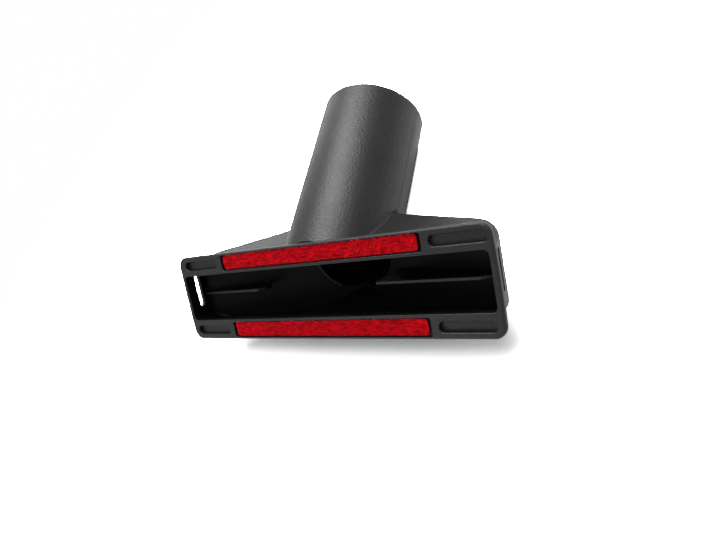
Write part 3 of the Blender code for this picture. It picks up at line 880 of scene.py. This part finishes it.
def pile_strip(name, middle, width, material, seed):
    """A strip of short pile in its seat: a thin backing and thousands of leaning tufts."""
    rng = random.Random(seed)
    half_length = SEAT_LENGTH / 2 - PILE_END_GAP
    half_width = width / 2 - PILE_SIDE_GAP
    outline = rounded_rectangle(2 * half_length, 2 * half_width, PILE_CORNER)
    bm = plate(outline, middle, -SEAT_DEPTH + STRIP_GAP, PILE_ROOT)
    steps_x = int(2 * half_length / PILE_PITCH)
    steps_y = int(2 * half_width / PILE_PITCH)
    for i in range(steps_x + 1):
        for j in range(steps_y + 1):
            column = i + ROW_SHIFT * (j % 2)
            x = -half_length + PILE_PITCH * (column + rng.uniform(-PLACE_SPREAD, PLACE_SPREAD))
            y = -half_width + PILE_PITCH * (j + rng.uniform(-PLACE_SPREAD, PLACE_SPREAD))
            if not inside_rounded(x, y, half_length, half_width, PILE_CORNER):
                continue
            clump = noise.noise(Vector((x * CLUMP_SCALE, y * CLUMP_SCALE, seed)))
            across = (x * LAY_Y - y * LAY_X) * STREAK_SCALE_ACROSS
            along = (x * LAY_X + y * LAY_Y) * STREAK_SCALE_ALONG
            streak = noise.noise(Vector((across, along, seed + STREAK_SEED_STEP)))
            share = 1.0 + CLUMP_HEIGHT * clump + STREAK_HEIGHT * streak
            height = PILE_HEIGHT * (share + rng.uniform(-HEIGHT_SPREAD, HEIGHT_SPREAD))
            turn = Matrix.Rotation(CLUMP_TURN * clump + rng.uniform(-TURN_SPREAD, TURN_SPREAD), 3, "Z")
            lean = turn @ PILE_LEAN * (LEAN_MIDDLE + LEAN_STREAK * streak)
            root = Vector((middle[0] + x, middle[1] + y, PILE_ROOT - PILE_THICKNESS))
            add_tuft(bm, root, lean, height, PILE_THICKNESS * rng.uniform(*THICKNESS_SPREAD))
    bmesh.ops.transform(bm, matrix=head_place(), verts=bm.verts)
    piece = make_object(name, bm, material)
    for face in piece.data.polygons:
        face.use_smooth = len(face.vertices) <= 4
    return piece


def add_strips(material):
    for seed, (lip, (middle, width)) in enumerate(lip_seats().items()):
        piece = pile_strip(lip + "_pile_strip", middle, width, material, seed)
        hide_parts(lip + "_lint_strip")
        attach(piece, "root")


def new_material(name):
    material = bpy.data.materials.new(name)
    material.use_nodes = True
    tree = material.node_tree
    tree.nodes.clear()
    return material, tree


def node(tree, kind, inputs=None, **settings):
    """A new node. Each of its inputs that is named gets a value, or is linked to another node's output."""
    made = tree.nodes.new(kind)
    for key, value in settings.items():
        setattr(made, key, value)
    for key, value in (inputs or {}).items():
        if isinstance(value, bpy.types.NodeSocket):
            tree.links.new(value, made.inputs[key])
        else:
            made.inputs[key].default_value = value
    return made


def mixed_colour(tree, share, first, second):
    """The first colour where share is 0, the second where it is 1, and a mix between.

    The node's inputs 6 and 7 and its output 2 are those for colours.
    """
    return node(tree, "ShaderNodeMix", {0: share, 6: first, 7: second}, data_type="RGBA").outputs[2]


def mixed_shader(tree, share, first, second):
    """The first shader where share is 0, the second where it is 1, and a mix between."""
    return node(tree, "ShaderNodeMixShader", {0: share, 1: first, 2: second}).outputs[0]


def smooth_rise(tree, value, start, end):
    """0 up to start, 1 from end on, and a smooth rise between."""
    inputs = {"Value": value, "From Min": start, "From Max": end}
    return node(tree, "ShaderNodeMapRange", inputs, interpolation_type="SMOOTHSTEP").outputs[0]


def plastic_material(name, specular, roughness, tones, grain_depth):
    """Black moulding with a fine grain, and a little change of gloss and tone from place to place."""
    material, tree = new_material(name)
    place = node(tree, "ShaderNodeTexCoord").outputs["Object"]
    inputs = {"Vector": place, "Scale": PATCH_SCALE, "Detail": NOISE_DETAIL}
    patches = node(tree, "ShaderNodeTexNoise", inputs).outputs[0]
    inputs = {"Vector": place, "Scale": GRAIN_SCALE, "Detail": NOISE_DETAIL}
    grain = node(tree, "ShaderNodeTexNoise", inputs).outputs[0]
    inputs = {"Value": patches, "To Min": roughness[0], "To Max": roughness[1]}
    gloss = node(tree, "ShaderNodeMapRange", inputs).outputs[0]
    tone = mixed_colour(tree, patches, *tones)
    inputs = {"Height": grain, "Strength": 1.0, "Distance": grain_depth}
    bump = node(tree, "ShaderNodeBump", inputs).outputs[0]
    inputs = {"Base Color": tone, "Roughness": gloss, "Specular IOR Level": specular, "Normal": bump}
    shader = node(tree, "ShaderNodeBsdfPrincipled", inputs).outputs[0]
    node(tree, "ShaderNodeOutputMaterial", {0: shader})
    return material


def pile_material():
    """Deep red pile, darker and lighter along its diagonal lay."""
    material, tree = new_material("red_pile")
    place = node(tree, "ShaderNodeTexCoord").outputs["Object"]
    stretch = (PILE_TONE_STRETCH, 1.0, 1.0)
    inputs = {"Vector": place, "Rotation": (0.0, 0.0, PILE_TONE_TURN), "Scale": stretch}
    lay = node(tree, "ShaderNodeMapping", inputs).outputs[0]
    inputs = {"Vector": lay, "Scale": PILE_TONE_SCALE, "Detail": NOISE_DETAIL}
    streaks = node(tree, "ShaderNodeTexNoise", inputs).outputs[0]
    inputs = {"Value": streaks, "From Min": PILE_TONE_RANGE[0], "From Max": PILE_TONE_RANGE[1]}
    share = node(tree, "ShaderNodeMapRange", inputs).outputs[0]
    tone = mixed_colour(tree, share, *PILE_TONES)
    inputs = {"Base Color": tone, "Roughness": PILE_ROUGHNESS, "Specular IOR Level": PILE_SPECULAR}
    shader = node(tree, "ShaderNodeBsdfPrincipled", inputs).outputs[0]
    node(tree, "ShaderNodeOutputMaterial", {0: shader})
    return material


def floor_material():
    """A pale floor, which the camera alone sees above white near the object, with painted shade under the
    head and painted light in front and behind, and plain white further out.
    """
    material, tree = new_material("pale_floor")
    ray = node(tree, "ShaderNodeLightPath").outputs
    place = node(tree, "ShaderNodeNewGeometry").outputs["Position"]
    y = node(tree, "ShaderNodeSeparateXYZ", {0: place}).outputs["Y"]
    reach = node(tree, "ShaderNodeVectorMath", {0: place}, operation="LENGTH").outputs["Value"]
    # Painted shade and light: the floor's colour by place sets how much of the object's shadow shows
    to_under = smooth_rise(tree, y, FRONT_TO, UNDER_FROM)
    to_rear = smooth_rise(tree, y, UNDER_TO, REAR_FROM)
    colour = mixed_colour(tree, to_under, FLOOR_FRONT_COLOUR, FLOOR_UNDER_SHADE_COLOUR)
    colour = mixed_colour(tree, to_rear, colour, FLOOR_REAR_PAINTED_LIGHT_COLOUR)
    near = node(tree, "ShaderNodeBsdfDiffuse", {"Color": colour}).outputs[0]
    white = node(tree, "ShaderNodeEmission").outputs[0]
    seen = mixed_shader(tree, smooth_rise(tree, reach, WHITE_FROM, WHITE_FULL), near, white)
    plain = node(tree, "ShaderNodeBsdfDiffuse", {"Color": FLOOR_COLOUR}).outputs[0]
    mirrored = node(tree, "ShaderNodeBsdfDiffuse", {"Color": FLOOR_MIRRORED_COLOUR}).outputs[0]
    unseen = mixed_shader(tree, ray["Is Glossy Ray"], plain, mirrored)
    node(tree, "ShaderNodeOutputMaterial", {0: mixed_shader(tree, ray["Is Camera Ray"], unseen, seen)})
    return material


def add_floor():
    mesh = bpy.data.meshes.new("floor")
    half = FLOOR_SIZE / 2
    corners = [(-half, -half, 0), (half, -half, 0), (half, half, 0), (-half, half, 0)]
    mesh.from_pydata(corners, [], [(0, 1, 2, 3)])
    floor = bpy.data.objects.new("floor", mesh)
    bpy.context.scene.collection.objects.link(floor)
    mesh.materials.append(floor_material())


def add_world():
    """Even light, and a plain pale backdrop where the camera or a reflection sees past the floor."""
    world = bpy.data.worlds.new("studio")
    bpy.context.scene.world = world
    world.use_nodes = True
    tree = world.node_tree
    tree.nodes.clear()
    ray = node(tree, "ShaderNodeLightPath").outputs
    seen = ray["Is Camera Ray"]
    for kind in ("Is Glossy Ray", "Is Transmission Ray"):
        seen = node(tree, "ShaderNodeMath", {0: seen, 1: ray[kind]}, operation="MAXIMUM").outputs[0]
    light = node(tree, "ShaderNodeBackground", {"Strength": WORLD_LIGHT}).outputs[0]
    backdrop = node(tree, "ShaderNodeBackground", {"Strength": WORLD_SEEN}).outputs[0]
    node(tree, "ShaderNodeOutputWorld", {0: mixed_shader(tree, seen, light, backdrop)})


def add_lamp(name, place, aim, size, power):
    """An oblong lamp that faces its aim."""
    lamp = bpy.data.lights.new(name, "AREA")
    lamp.shape = "RECTANGLE"
    lamp.size, lamp.size_y = size
    lamp.energy = power
    lit = bpy.data.objects.new(name, lamp)
    lit.location = place
    lit.rotation_euler = (Vector(aim) - Vector(place)).to_track_quat("-Z", "Y").to_euler()
    bpy.context.scene.collection.objects.link(lit)


def add_camera():
    data = bpy.data.cameras.new("camera")
    data.lens = CAMERA_LENS
    data.sensor_width = CAMERA_SENSOR
    data.sensor_fit = "HORIZONTAL"
    data.clip_start = CAMERA_CLIP_START
    camera = bpy.data.objects.new("camera", data)
    turn = Matrix((CAMERA_RIGHT, CAMERA_UP, CAMERA_BACK)).transposed()
    camera.matrix_world = Matrix.Translation(CAMERA_PLACE) @ turn.to_4x4()
    bpy.context.scene.collection.objects.link(camera)
    bpy.context.scene.camera = camera


def main():
    bpy.context.scene.view_settings.view_transform = "Standard"
    outside = plastic_material(
        "moulded_black_plastic", OUTSIDE_SPECULAR, OUTSIDE_ROUGHNESS, OUTSIDE_TONES, OUTSIDE_GRAIN
    )
    # The hollow's plastic is a darker, less glossy copy of the outside's: painted shade for the dark inside
    # of the mouth
    hollow = plastic_material(
        "hollow_painted_shade_plastic", HOLLOW_SHADE_SPECULAR, HOLLOW_ROUGHNESS, HOLLOW_SHADE_TONES, HOLLOW_GRAIN
    )
    add_body(outside, hollow)
    add_strips(pile_material())
    add_floor()
    add_world()
    for lamp in LAMPS:
        add_lamp(*lamp)
    add_camera()


main()
